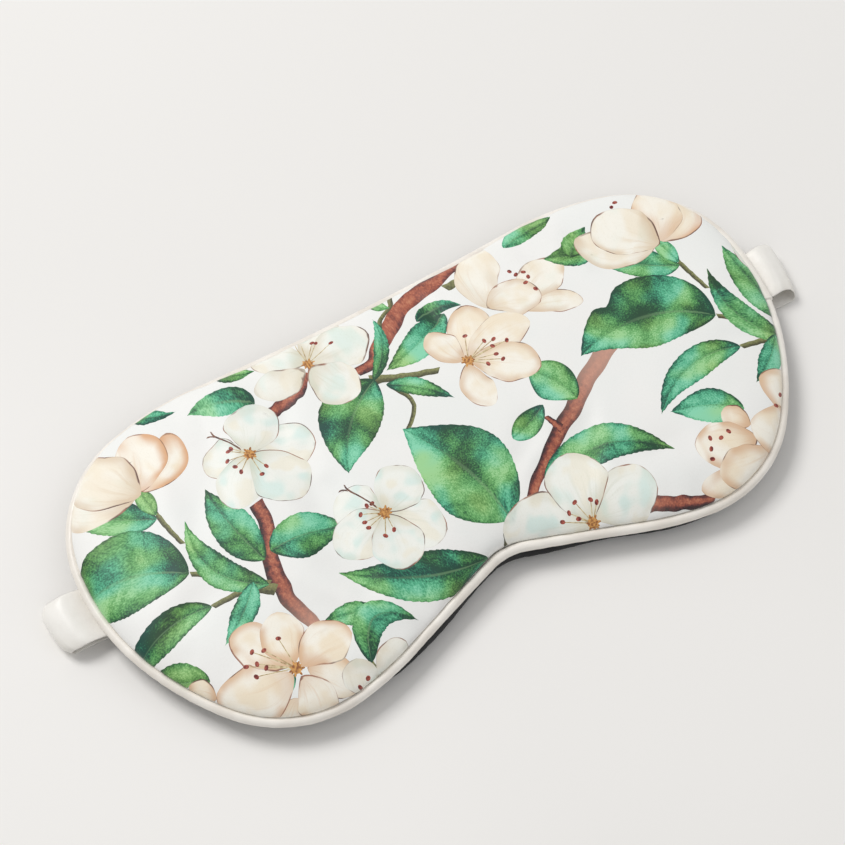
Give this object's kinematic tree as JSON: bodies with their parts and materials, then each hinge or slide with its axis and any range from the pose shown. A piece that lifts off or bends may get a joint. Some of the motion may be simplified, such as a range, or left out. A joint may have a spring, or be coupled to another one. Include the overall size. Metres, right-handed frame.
{
  "type": "padded sleep mask",
  "caption": "Padded satin sleep mask with a blossom print, piped edge, black back, and a flat strap folded under it that closes with a hook-and-loop patch.",
  "frame": {"origin": "on the surface that the folded strap lies on, under the middle of the mask's outline", "axes": "+Z out of the printed face, +X along the mask, +Y towards the forehead edge; the nose notch is on the -Y side"},
  "size_m": [0.231, 0.1032, 0.015],
  "materials": {
    "printed_satin": "satin weave with a printed blossom and leaf pattern",
    "wadding": "soft bonded fibre",
    "blackout_cloth": "dense plain weave",
    "black_satin": "satin weave, smooth side out",
    "piping_satin": "satin cut on the bias",
    "piping_core": "braided cotton cord",
    "white_thread": "spun polyester sewing thread",
    "black_thread": "spun polyester sewing thread",
    "strap_satin": "woven satin-faced elastic",
    "hook_tape": "hook side of a hook-and-loop tape",
    "loop_tape": "loop side of a hook-and-loop tape"
  },
  "bodies": {
    "mask": {"front_panel": "printed_satin", "front_wadding": "wadding", "blackout_lining": "blackout_cloth", "back_wadding": "wadding", "back_panel": "black_satin", "piping_cover": "piping_satin", "piping_cord": "piping_core", "perimeter_seam": "white_thread", "closing_stitches": "black_thread", "left_strap_end": "strap_satin", "right_strap_end": "strap_satin", "left_strap_tack": "white_thread", "right_strap_tack": "white_thread", "left_strap_fold": "strap_satin", "right_strap_fold": "strap_satin"},
    "left_strap": {"left_strap_run": "strap_satin", "hook_patch": "hook_tape", "hook_patch_stitches": "white_thread"},
    "right_strap": {"right_strap_run": "strap_satin", "loop_patch": "loop_tape", "loop_patch_stitches": "white_thread"}
  },
  "joints": [
    {"name": "left_strap_swing", "type": "hinge", "parent": "mask", "child": "left_strap", "pos_m": [-0.11285, 0.006, 0.00265], "axis": [0, 1, 0], "range_deg": [0, 165], "deforming": ["left_strap_fold"]},
    {"name": "right_strap_swing", "type": "hinge", "parent": "mask", "child": "right_strap", "pos_m": [0.11285, 0.006, 0.00265], "axis": [0, -1, 0], "range_deg": [0, 165], "deforming": ["right_strap_fold"]}
  ],
  "couplings": [
    {"joint": "right_strap_swing", "follows": "left_strap_swing", "ratio": 1}
  ]
}
